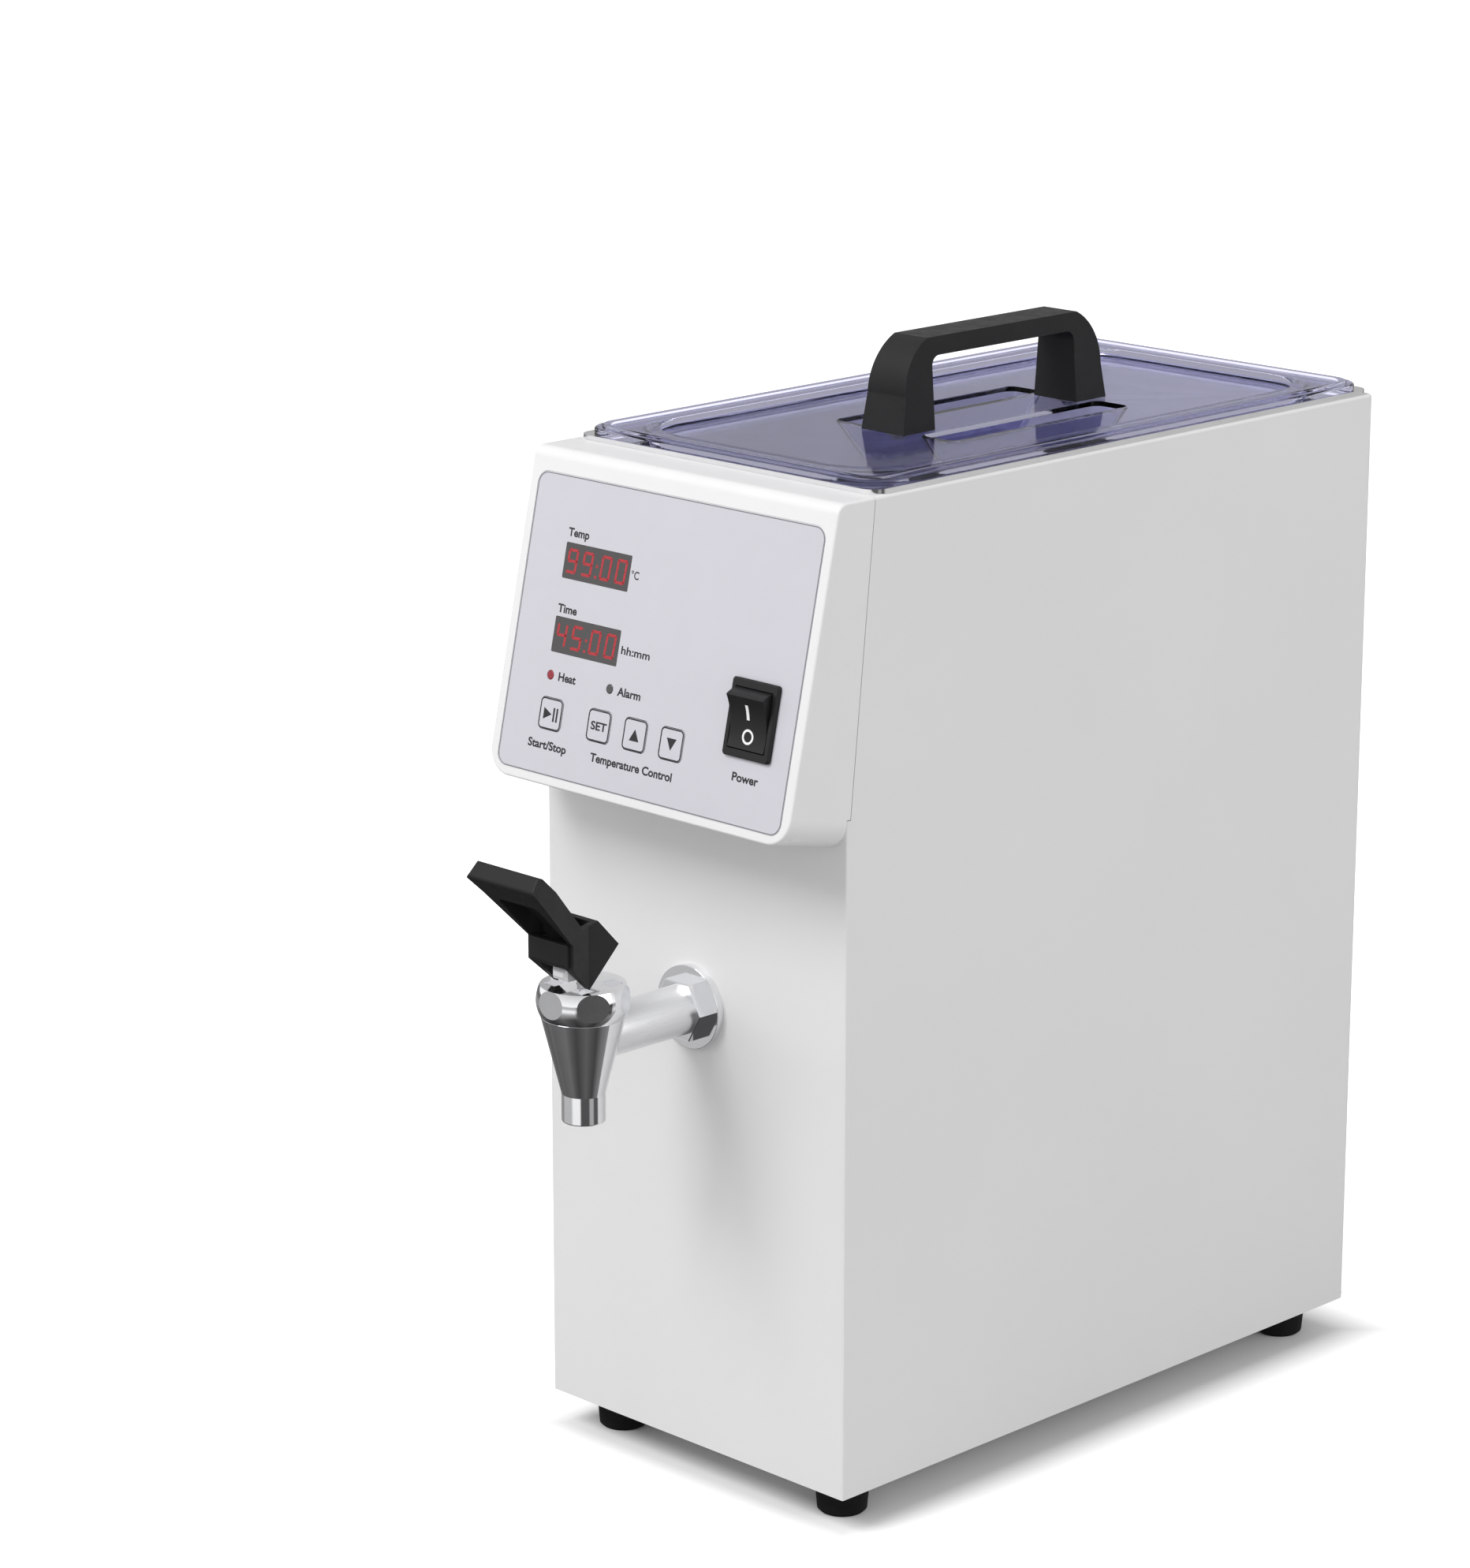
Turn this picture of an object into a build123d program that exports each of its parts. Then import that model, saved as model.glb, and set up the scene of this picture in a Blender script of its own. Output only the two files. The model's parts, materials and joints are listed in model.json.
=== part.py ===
from build123d import *

import os
from math import cos, radians, sin

# A bench-top heated bath with a front dispensing tap, in millimetres.
# X runs across the front, Y from the front to the back, Z up. While it is being modelled, Y = 0 is
# the lower front wall and Z = 0 the underside of the cabinet; export_all moves everything so that
# the origin is on the table under the middle of the whole object.

# ---- cabinet ----
body_width = 180.0
body_depth = 343.0
body_height = 433.0
sheet = 1.2
front_bend = 0.8
rear_bend = 4.0
top_bend = 1.3
half = body_width / 2
inner_half = half - sheet

# ---- sloping console at the top of the front ----
face_tilt = 12.4
face_y = -31.8
face_z = 311.8
console_bottom = -17.4
console_corner = 12.0
console_wall = 2.5
console_top_fillet = 5.0
seam_gap = 0.35
front_wall_top = 300.0
seam_bottom = (2.45, front_wall_top)
seam_top = (16.0, body_height)

# ---- label and controls, as (across, up the slope) on the console's face ----
label_half_width = 85.3
label_bottom = -13.6
label_top = 114.4
label_corner = 6.0
label_recess = 0.4
label_thickness = 0.35
window_size = (40.0, 15.3)
window_places = {"temperature": (-42.2, 78.6), "time": (-42.1, 46.9)}
led_radius = 2.0
led_places = {"heat": (-60.2, 29.3), "alarm": (-23.8, 29.4)}
key_size = 13.4
key_corner = 2.2
key_proud = 0.25
key_travel = 0.6
key_places = {"start": (-56.4, 13.0), "set": (-26.8, 13.0), "up": (-4.95, 13.05), "down": (16.85, 13.05)}
switch_place = (60.8, 31.0)
switch_bezel = (26.8, 32.5)
switch_proud = 2.0
rocker_half_width = 10.4
rocker_radius = 13.2
rocker_pivot_depth = -2.4
rocker_angle = 26.0
rocker_scoop_radius = 28.4
rocker_scoop_reach = 33.5

# ---- control board behind the console ----
board_face = -11.0
board_thickness = 1.6
board_pillar_places = [(x, y) for x in (-76, 36) for y in (4, 91)]

# ---- tank ----
tank_flange = (176.0, 325.0)
tank_middle = 179.5
tank_flange_corner = 7.0
tank_flange_top = 435.2
tank_skin = 1.2
tank_inner = (150.0, 299.0)
tank_corner = 24.0
tank_floor = 179.0
tank_floor_fillet = 9.0

# ---- lid ----
lid_size = (174.0, 323.0)
lid_corner = 15.0
lid_seat = tank_flange_top + 0.1
lid_ledge = 438.1
lid_band = 438.3
lid_bead = 439.3
lid_floor = 434.1
lid_floor_skin = 2.6
lid_recess_inset = 15.6
lid_recess_corner = 30.0
lid_lip_bottom = 429.5
pocket_depth = 17.0
pocket_wall = 2.0
pocket_x = (16.0, 35.3)
pocket_y = (121.5, 237.5)
handle_y = 181.2
handle_half_length = 66.2
handle_inner_half = 46.2
handle_height = 40.2
handle_bar = 8.2
handle_base_half = 12.5
handle_top_half = 9.6
handle_screw_places = (handle_y - 56, handle_y + 56)

# ---- dispensing tap ----
tap_y = -64.5
shank_z = 201.0
shank_radius = 11.0
shank_bore = 7.0
bonnet_bottom = 211.2
bonnet_top = 225.2
bonnet_radius = 19.85
bonnet_low_radius = 17.9
bonnet_top_radius = 18.2
bonnet_belly = 219.3
bonnet_flat = 18.5
bonnet_flat_lean = 4.0
cone_top_radius = 18.0
cone_bottom = 177.3
outlet_bottom = 165.0
outlet_radius = 9.45
outlet_bore = 6.5
chamber_radius = 10.4
washer_radius = 18.5
washer_thickness = 3.6
stem_radius = 2.5
seat_z = 190.0
pin_z = 240.0
pin_radius = 1.5
pin_half_length = 9.6

# ---- tap lever, with its outline as (y, z) ----
lever_outline = [(-105.7, 283.3), (-94.9, 274.3), (-84.1, 262.6), (-75.1, 252.8), (-66.0, 254.9),
                 (-54.2, 242.5), (-71.1, 226.0), (-82.6, 237.2), (-82.6, 247.4), (-102.5, 268.6),
                 (-111.0, 277.0)]
lever_pocket = [(-104.4, 264.1), (-96.5, 271.7), (-77.0, 251.1), (-77.0, 247.8), (-84.3, 247.8)]
lever_slot = [(-81.8, 220.0), (-81.8, 247.8), (-77.0, 247.8), (-77.0, 251.1), (-74.4, 252.0),
              (-74.4, 260.0), (-68.0, 260.0), (-68.0, 254.2), (-57.5, 243.2), (-57.5, 220.0)]
lever_heel_half = 11.0
lever_slot_half = 8.1
lever_pocket_half = 12.2
lever_bridge_half = 11.6
lever_bridge_front = -84.0

# ---- feet and internals ----
foot_height = 16.6
foot_places = [(x, y) for x in (-68.2, 68.2) for y in (22.5, 321.0)]
lead_x = (-30.0, -20.0)
lead_y = 148.0
base_thickness = 1.5
rear_panel_thickness = 1.2
base_screw_places = [(x, y) for x in (-82.5, 82.5) for y in (60.0, 171.0, 283.0)]
rear_screw_places = [(x, z) for x in (-78.5, 78.5) for z in (12.0, 148.0, 284.0, 418.0)]
power_board_z = 14.0
power_board_places = [(x, y) for x in (-56, 56) for y in (64, 156)]
inlet_x = 44.0
inlet_z = 60.0

face_slope = radians(face_tilt)
panel = Plane(origin=(0, face_y, face_z), x_dir=(1, 0, 0), z_dir=(0, -cos(face_slope), sin(face_slope)))


# ---------------------------------------------------------------- helpers
def block(x0, x1, y0, y1, z0, z1):
    """A box between two corners."""
    size = Box(x1 - x0, y1 - y0, z1 - z0)
    return Pos((x0 + x1) / 2, (y0 + y1) / 2, (z0 + z1) / 2) * size


def rounded(width, length, corner, z0, z1, x=0.0, y=0.0):
    """An upright plate with rounded vertical corners."""
    return Pos(x, y, z0) * extrude(RectangleRounded(width, length, corner), z1 - z0)


def rod(radius, z0, z1, x=0.0, y=0.0):
    """An upright cylinder."""
    return Pos(x, y, (z0 + z1) / 2) * Cylinder(radius, z1 - z0)


def rod_x(radius, x0, x1, y, z):
    """A cylinder along X."""
    return Pos((x0 + x1) / 2, y, z) * Rot(0, 90, 0) * Cylinder(radius, x1 - x0)


def rod_y(radius, y0, y1, x, z):
    """A cylinder along Y."""
    return Pos(x, (y0 + y1) / 2, z) * Rot(90, 0, 0) * Cylinder(radius, y1 - y0)


def side_profile(points, x0, x1):
    """A prism along X with its outline given as (y, z) points."""
    outline = make_face(Polyline(*[(x0, y, z) for y, z in points], close=True))
    return extrude(outline, x1 - x0, dir=(1, 0, 0))


def on_panel(shape):
    """Moves a shape from console coordinates (across, up the slope, outwards) to its place."""
    return panel.location * shape


def many(shapes):
    """Groups separate solids in one node."""
    return Compound([solid for shape in shapes for solid in shape.solids()])


def ring(width, length, corner, inset, wall, z0, z1, y):
    """A rounded rectangular ring whose outer edge is inset from the given size."""
    outer = rounded(width - 2 * inset, length - 2 * inset, max(corner - inset, 1.0), z0, z1, y=y)
    deeper = inset + wall
    inner_corner = max(corner - deeper, 0.8)
    inner = rounded(width - 2 * deeper, length - 2 * deeper, inner_corner, z0 - 1, z1 + 1, y=y)
    return outer - inner


# ---------------------------------------------------------------- cabinet
def wrap(half_x, y0, y1, z0, z1, front_corner, rear_corner):
    """A block with different radii on its front and rear upright edges."""
    solid = block(-half_x, half_x, y0, y1, z0, z1)
    upright = solid.edges().filter_by(Axis.Z)
    solid = fillet(upright.group_by(Axis.Y)[0], front_corner)
    upright = solid.edges().filter_by(Axis.Z).group_by(Axis.Y)[-1]
    return fillet(upright, rear_corner)


def cabinet():
    """The sheet-metal wrap: front wall, sides, top deck and folded-in rear and bottom flanges."""
    outer = wrap(half, 0, body_depth, 0, body_height, front_bend, rear_bend)
    rim = outer.faces().sort_by(Axis.Z)[-1].edges().filter_by(lambda edge: edge.center().Y > 1.5)
    outer = fillet(rim, top_bend)
    inner = wrap(inner_half, sheet, body_depth - sheet, -1, body_height - sheet, 0.4, rear_bend - sheet)
    shell = outer - inner
    flange_z = (base_thickness + 0.1, base_thickness + 0.1 + sheet)
    for side in (-1, 1):
        edges = sorted((side * (inner_half + 0.4), side * (inner_half - 12)))
        shell += block(edges[0], edges[1], sheet, body_depth - sheet, *flange_z)
    shell -= block(-76, 76, body_depth - 2, body_depth + 1, -1, 417)
    opening = (tank_inner[0] + 6, tank_inner[1] + 6)
    shell -= rounded(*opening, tank_corner + 2, body_height - 3, body_height + 1, y=tank_middle)
    above = body_height + 5
    notch = [(-5, front_wall_top), seam_bottom, seam_top, (seam_top[0], above), (-5, above)]
    shell -= side_profile(notch, -half - 1, half + 1)
    shell -= rod_y(shank_radius + 0.3, -1, 3, 0, shank_z)
    for x, y in base_screw_places:
        shell -= rod(1.6, 1, 4, x, y)
    for x, z in rear_screw_places:
        shell -= rod_y(1.6, body_depth - 3, body_depth + 1, x, z)
    return shell


def base_plate():
    """The bottom plate, with three rows of air slots."""
    width, length = 2 * inner_half - 0.6, body_depth - 2 * sheet - 0.6
    plate = rounded(width, length, 2.4, 0, base_thickness, y=body_depth / 2)
    for x in (-30, 0, 30):
        for step in range(9):
            plate -= rounded(22, 4, 1.9, -1, 3, x=x, y=100 + 15 * step)
    for x, y in base_screw_places:
        plate -= rod(1.6, -1, 3, x, y)
    for x, y in foot_places:
        plate -= rod(2.6, -1, 3, x, y)
    return plate


def rear_panel():
    """The screwed-on back, with air slots and the hole for the power inlet."""
    y0, y1 = body_depth, body_depth + rear_panel_thickness
    plate = Pos(0, y0, 215) * Rot(-90, 0, 0) * extrude(RectangleRounded(165, 424, 4), rear_panel_thickness)
    for column in (-36, 36):
        for step in range(8):
            slot = extrude(RectangleRounded(46, 4, 1.9), 6)
            plate -= Pos(column, y0 - 2, 250 + 13 * step) * Rot(-90, 0, 0) * slot
    plate -= block(inlet_x - 14.3, inlet_x + 14.3, y0 - 1, y1 + 1, inlet_z - 24.3, inlet_z + 24.3)
    for x, z in rear_screw_places:
        plate -= rod_y(1.6, y0 - 1, y1 + 1, x, z)
    return plate


def pan_screw(length, radius=1.5, head=2.9, head_height=1.9):
    """A pan-head screw whose head stands on Z = 0 and whose shank goes down; cross slot on top."""
    dome = rod(head, 0, head_height)
    dome = fillet(dome.faces().sort_by(Axis.Z)[-1].edges(), head_height * 0.6)
    screw = dome + rod(radius, -length, 0)
    for width, depth in ((2.6, 0.7), (0.7, 2.6)):
        screw -= block(-width / 2, width / 2, -depth / 2, depth / 2, head_height - 0.9, head_height + 1)
    return screw


def base_screws():
    """Six screws that hold the base plate to the cabinet's flanges, heads down."""
    return many([Pos(x, y, 0) * Rot(180, 0, 0) * pan_screw(5) for x, y in base_screw_places])


def rear_screws():
    """Eight screws that hold the rear panel."""
    y = body_depth + rear_panel_thickness
    return many([Pos(x, y, z) * Rot(-90, 0, 0) * pan_screw(5) for x, z in rear_screw_places])


def feet():
    """Four tapered rubber feet with a recess for the screw head."""
    outline = [(2.6, 0), (12.3, 0), (10.9, -foot_height + 1.2), (9.7, -foot_height), (5.4, -foot_height)]
    outline += [(5.4, -foot_height + 9), (2.6, -foot_height + 9)]
    section = make_face(Polyline(*[(r, 0, z) for r, z in outline], close=True))
    foot = revolve(section, Axis.Z)
    return many([Pos(x, y, 0) * foot for x, y in foot_places])


def foot_screws():
    """Four screws through the feet into the base plate, each with its nut."""
    seat = -foot_height + 9
    screw = rod(4.4, seat - 3, seat) + rod(2.5, seat - 0.5, 9)
    screw -= extrude(RegularPolygon(2.2, 6), 3).moved(Location((0, 0, seat - 4)))
    nut = extrude(RegularPolygon(4.6, 6), 4).moved(Location((0, 0, base_thickness))) - rod(2.5, 0, 9)
    return many([Pos(x, y, 0) * shape for x, y in foot_places for shape in (screw, nut)])


# ---------------------------------------------------------------- console
def console_housing():
    """The sloping console shell, open at the back, with its cut-outs."""
    height_up = 160.0
    outline = Pos(0, console_bottom + height_up / 2) * Rectangle(body_width, height_up)
    outline = fillet(outline.vertices().group_by(Axis.Y)[0], console_corner)
    outer = extrude(on_panel(outline), 80, dir=tuple(-panel.z_dir))
    wall = console_wall
    inside = Pos(0, console_bottom + wall + height_up / 2) * Rectangle(body_width - 2 * wall, height_up)
    inside = fillet(inside.vertices().group_by(Axis.Y)[0], console_corner - wall)
    inner = extrude(on_panel(Pos(0, 0, -wall) * inside), 90, dir=tuple(-panel.z_dir))
    keep = [(-80, 260), (-0.05, 260), (-0.05, front_wall_top + seam_gap),
            (seam_bottom[0] - seam_gap, front_wall_top + seam_gap), (seam_top[0] - seam_gap, body_height),
            (-80, body_height)]
    keep = side_profile(keep, -half - 5, half + 5)
    outer = outer & keep
    top_edge = outer.edges().filter_by(Axis.X).filter_by(lambda edge: edge.center().Z > body_height - 0.01)
    outer = fillet(top_edge.sort_by(Axis.Y)[0], console_top_fillet)
    rim = outer.edges().filter_by(lambda edge: abs(panel.to_local_coords(edge.center()).Z) < 0.01)
    outer = fillet(rim, 1.0)
    low = block(-half - 5, half + 5, -80, 60, 200, body_height - wall)
    shell = outer - (inner & low)
    label_size = (2 * label_half_width, label_top - label_bottom)
    label_middle = (label_top + label_bottom) / 2
    recess = rounded(label_size[0], label_size[1], label_corner, -label_recess, 3, y=label_middle)
    shell -= on_panel(recess)
    return shell - panel_cutouts(0.25)


def panel_cutouts(gap):
    """Everything that is cut through the console and its label, with a gap around each part."""
    cuts = []
    for x, y in window_places.values():
        size = [side + 2 * gap for side in window_size]
        cuts.append(rounded(size[0], size[1], 0.6, -9, 3, x, y))
    for x, y in led_places.values():
        cuts.append(rod(led_radius + 0.1, -9, 3, x, y))
    for x, y in key_places.values():
        side = key_size + 0.7
        cuts.append(rounded(side, side, key_corner + 0.35, -9, 3, x, y))
    x, y = switch_place
    cuts.append(rounded(switch_bezel[0] - 2.4, switch_bezel[1] - 2.4, 0.6, -9, 3, x, y))
    return on_panel(Part() + cuts)


def label_overlay():
    """The thin printed label that lies in the console's recess."""
    width = 2 * label_half_width - 0.9
    length = label_top - label_bottom - 0.9
    top = -label_recess + label_thickness
    middle = (label_top + label_bottom) / 2
    film = rounded(width, length, label_corner - 0.45, -label_recess, top, y=middle)
    return on_panel(film) - panel_cutouts(0.05)


def display_window(place):
    """A smoked pane over one display."""
    return on_panel(rounded(window_size[0], window_size[1], 0.5, -1.4, -0.1, *place))


def display_module(place):
    """A four-digit display block behind its pane, standing on the control board."""
    return on_panel(rounded(window_size[0] - 0.4, window_size[1] - 0.4, 0.5, board_face, -1.4, *place))


def led(place):
    """An indicator lamp with a rounded end, standing on the control board."""
    lamp = rod(led_radius, board_face, 0.1, *place)
    return on_panel(fillet(lamp.faces().sort_by(Axis.Z)[-1].edges(), 0.5))


def key(place):
    """A key cap with a stop flange behind the console and a plunger towards its switch."""
    cap = rounded(key_size, key_size, key_corner, -3.0, key_proud, *place)
    cap = fillet(cap.faces().sort_by(Axis.Z)[-1].edges(), 0.2)
    flange = rounded(key_size + 2.6, key_size + 2.6, key_corner, -3.7, -2.85, *place)
    plunger = rod(1.7, -7.0, -3.6, *place)
    return on_panel(cap + flange + plunger)


def key_switches():
    """Four small push switches on the control board, one under each key."""
    shapes = []
    for x, y in key_places.values():
        base = rounded(6.2, 6.2, 0.5, board_face, board_face + 2.3, x, y)
        shapes.append(on_panel(base + rod(1.75, board_face + 2.2, board_face + 3.3, x, y)))
    return many(shapes)


def control_board():
    """The printed board behind the console, with its processor and connector."""
    board = block(-80, 40, 0, 95, board_face - board_thickness, board_face)
    for x, y in board_pillar_places:
        board -= rod(1.55, -20, 0, x, y)
    chip = block(-2, 12, 62, 76, board_face - board_thickness - 2, board_face - board_thickness)
    socket = block(-30, 0, 6, 12, board_face - board_thickness - 8, board_face - board_thickness)
    return on_panel(board + chip + socket)


def board_pillars():
    """Four pillars between the console wall and the control board."""
    return many([on_panel(rod(3.2, board_face, -console_wall, x, y)) for x, y in board_pillar_places])


def board_screws():
    """Four screws that hold the control board to its pillars."""
    back = board_face - board_thickness
    screw = Rot(180, 0, 0) * pan_screw(board_thickness)
    return many([on_panel(Pos(x, y, back) * screw) for x, y in board_pillar_places])


# ---------------------------------------------------------------- power switch
def switch_body():
    """The power switch's frame, with a curved well that the rocker turns in."""
    x, y = switch_place
    bezel = rounded(switch_bezel[0], switch_bezel[1], 1.6, 0, switch_proud, x, y)
    bezel = chamfer(bezel.faces().sort_by(Axis.Z)[-1].edges(), 0.7)
    case = rounded(switch_bezel[0] - 2.8, switch_bezel[1] - 2.8, 0.6, -24, 0.5, x, y)
    well_half = rocker_half_width + 0.4
    round_well = rod_x(rocker_radius + 0.4, x - well_half, x + well_half, y, rocker_pivot_depth)
    top = block(x - well_half, x + well_half, y - 30, y + 30, rocker_pivot_depth - 10.5, 20)
    body = bezel + case - (round_well & top)
    return on_panel(body - rod_x(1.5, x - 11.8, x + 11.8, y, rocker_pivot_depth))


def rocker():
    """The rocker key: one smooth hollow face, with ends that follow a circle about the pivot."""
    x, y = switch_place
    lean = radians(rocker_angle / 2)
    scoop_y = y - rocker_scoop_reach * sin(lean)
    scoop_out = rocker_pivot_depth + rocker_scoop_reach * cos(lean)
    cap = block(x - rocker_half_width, x + rocker_half_width, y - 20, y + 20, -6.0, 12.0)
    cap = cap & rod_x(rocker_radius, x - 20, x + 20, y, rocker_pivot_depth)
    cap -= rod_x(rocker_scoop_radius, x - 20, x + 20, scoop_y, scoop_out)
    return on_panel(cap - rod_x(1.55, x - 20, x + 20, y, rocker_pivot_depth))


def rocker_pin():
    """The steel pin that the rocker turns on."""
    x, y = switch_place
    return on_panel(rod_x(1.5, x - 11.8, x + 11.8, y, rocker_pivot_depth))


def switch_terminals():
    """Four blade terminals at the back of the power switch."""
    x, y = switch_place
    blade = block(-0.4, 0.4, -3, 3, -34, -24)
    return many([on_panel(Pos(x + dx, y + dy, 0) * blade) for dx in (-7, 7) for dy in (-8, 6)])


# ---------------------------------------------------------------- tank and its heating
def tank():
    """The deep-drawn steel tank, with a flange that hangs on the deck and a hole for the tap."""
    width, length = tank_inner
    top = tank_flange_top
    outer = rounded(width + 2 * tank_skin, length + 2 * tank_skin, tank_corner + tank_skin,
                    tank_floor - tank_skin, top, y=tank_middle)
    outer = fillet(outer.faces().sort_by(Axis.Z)[0].edges(), tank_floor_fillet + tank_skin)
    flange = rounded(*tank_flange, tank_flange_corner, body_height + 0.05, top, y=tank_middle)
    under = ring(*tank_flange, tank_flange_corner, tank_skin, 20, body_height - 1, top - tank_skin,
                 tank_middle)
    inner = rounded(width, length, tank_corner, tank_floor, top + 1, y=tank_middle)
    inner = fillet(inner.faces().sort_by(Axis.Z)[0].edges(), tank_floor_fillet)
    body = flange - under + outer - inner
    mouth = body.edges().filter_by(lambda edge: abs(edge.center().Z - top) < 0.01)
    body = fillet(mouth.filter_by(lambda edge: abs(edge.center().X) < width / 2 + 1
                                  and abs(edge.center().Y - tank_middle) < length / 2 + 1), 1.0)
    front = tank_middle - length / 2
    return body - rod_y(shank_bore + 2, front - 5, front + 5, 0, shank_z)


def tank_gasket():
    """The flat silicone seal between the tank's flange and the deck."""
    return ring(*tank_flange, tank_flange_corner, 2.2, 6.0, body_height, body_height + 0.95, tank_middle)


def tank_nozzle():
    """The threaded boss on the tank's front wall that the tap's shank screws into."""
    front = tank_middle - tank_inner[1] / 2 - tank_skin
    boss = rod_y(14.5, front - 20, front, 0, shank_z)
    return boss - rod_y(shank_radius, front - 21, front + 1, 0, shank_z)


def bottom_heater():
    """The flat mica heater under the tank."""
    plate = rounded(120, 262, 14, tank_floor - tank_skin - 3, tank_floor - tank_skin, y=tank_middle)
    return plate - rod(9.5, 170, 180, 0, 120) - rod(5, 170, 180, 0, 230)


def side_heaters():
    """Two silicone heating mats on the tank's long sides."""
    x = tank_inner[0] / 2 + tank_skin
    mats = []
    for side in (-1, 1):
        span = sorted((side * x, side * (x + 1.6)))
        mats.append(block(span[0], span[1], tank_middle - 110, tank_middle + 110, 200, 290))
    return many(mats)


def insulation():
    """The moulded insulation jacket around the tank."""
    jacket = rounded(172, 320, 20, 160, 424, y=tank_middle)
    hollow = rounded(tank_inner[0] + 6.5, tank_inner[1] + 6.5, tank_corner + 3, 174, 430, y=tank_middle)
    jacket -= hollow
    jacket -= rod_y(15, 0, 40, 0, shank_z)
    jacket -= [rod(2.0, 150, 180, x, lead_y) for x in lead_x]
    return jacket - rod(10, 150, 180, 0, 120) - rod(6, 150, 180, 0, 230)


def overheat_cutout():
    """The bimetal safety thermostat pressed against the tank's floor."""
    under = tank_floor - tank_skin
    cup = rod(8, under - 12, under, 0, 120)
    legs = [block(x - 3, x + 3, 119.6, 120.4, under - 22, under - 11) for x in (-4.5, 4.5)]
    return cup + legs


def temperature_sensor():
    """The thermistor probe that reads the tank's floor."""
    under = tank_floor - tank_skin
    return rod(4, under - 20, under, 0, 230) + rod(5.5, under - 24, under - 19, 0, 230)


# ---------------------------------------------------------------- power electronics in the base bay
def power_board():
    """The mains board with its heat sink, capacitor and terminal strip."""
    board = block(-60, 60, 60, 160, power_board_z, power_board_z + 1.6)
    for x, y in power_board_places:
        board -= rod(1.8, 0, 30, x, y)
    top = power_board_z + 1.6
    board += block(-52, -12, 70, 74, top, top + 32)
    board += [block(-52, -12, 74 + 6 * step, 76 + 6 * step, top, top + 26) for step in range(1, 4)]
    board += rod(9, top, top + 28, 28, 84)
    board += block(-50, 40, 142, 154, top, top + 12)
    return board


def power_board_pillars():
    """Four pillars that carry the mains board."""
    pillar = rod(3, base_thickness, power_board_z) + rod(1.75, power_board_z - 0.5, power_board_z + 4)
    return many([Pos(x, y, 0) * pillar for x, y in power_board_places])


def transformer():
    """The small mains transformer, with its winding between the core's legs."""
    core = block(-24, 24, 190, 230, base_thickness, 44)
    core -= [block(-16, -6, 180, 240, 10, 36), block(6, 16, 180, 240, 10, 36)]
    winding = block(-15.5, 15.5, 183, 237, 10.5, 35.5) - block(-6, 6, 180, 240, 10, 36)
    return core + winding


def relay():
    """The solid-state relay that switches the heaters."""
    case = block(30, 74, 190, 248, base_thickness, 24)
    case = fillet(case.edges().filter_by(Axis.Z), 2)
    return case - [rod(3, 20, 30, 52, y) for y in (196, 242)]


def heater_leads():
    """Two insulated leads from the mains board up to the bottom heater."""
    top = tank_floor - tank_skin - 3
    return many([rod(1.6, power_board_z + 13.6, top, x, lead_y) for x in lead_x])


def ribbon_cable():
    """The flat cable from the control board down to the mains board."""
    high = 303.0
    run = block(-46, -24, 4.0, 4.8, 8.0, high)
    foot = block(-46, -24, 4.0, 62.0, 7.4, 8.2)
    head = block(-46, -24, -9.0, 4.8, high - 0.4, high + 0.4)
    return run + foot + head


# ---------------------------------------------------------------- power inlet
def inlet_socket():
    """The recessed three-pin power inlet with a bay for the fuse drawer."""
    y = body_depth + rear_panel_thickness
    frame = Pos(inlet_x, y, inlet_z) * Rot(-90, 0, 0) * extrude(RectangleRounded(31.5, 52.0, 2.5), 2.4)
    case = block(inlet_x - 14, inlet_x + 14, y - 24, y + 1, inlet_z - 24, inlet_z + 24)
    well = Pos(inlet_x, y + 4, inlet_z - 8) * Rot(90, 0, 0) * extrude(RectangleRounded(24.4, 16.6, 2.5), 20)
    fuse_bay = block(inlet_x - 11.7, inlet_x + 11.7, y - 18, y + 4, inlet_z + 5.3, inlet_z + 20.7)
    return frame + case - well - fuse_bay


def inlet_pins():
    """The three flat pins inside the inlet."""
    y = body_depth + rear_panel_thickness
    low = inlet_z - 8
    pins = [block(inlet_x + dx - 1, inlet_x + dx + 1, y - 16.0, y - 3.0, low + dz - 2, low + dz + 2)
            for dx, dz in ((-7, -2), (0, 2), (7, -2))]
    tails = [block(inlet_x + dx - 0.4, inlet_x + dx + 0.4, y - 34, y - 24, low + dz - 3, low + dz + 3)
             for dx, dz in ((-7, 2), (0, 2), (7, 2))]
    return many(pins + tails)


def fuse_drawer():
    """The pull-out fuse drawer above the pins."""
    y = body_depth + rear_panel_thickness
    drawer = block(inlet_x - 11.5, inlet_x + 11.5, y - 17.8, y + 2.9, inlet_z + 5.5, inlet_z + 20.5)
    drawer -= block(inlet_x - 3, inlet_x + 3, y + 1.4, y + 4, inlet_z + 17.5, inlet_z + 22)
    return drawer - rod_x(2.7, inlet_x - 10, inlet_x + 10, y - 9, inlet_z + 13)


def fuse():
    """The glass fuse in the drawer."""
    y = body_depth + rear_panel_thickness - 9
    return rod_x(2.6, inlet_x - 9.9, inlet_x + 9.9, y, inlet_z + 13)


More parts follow.
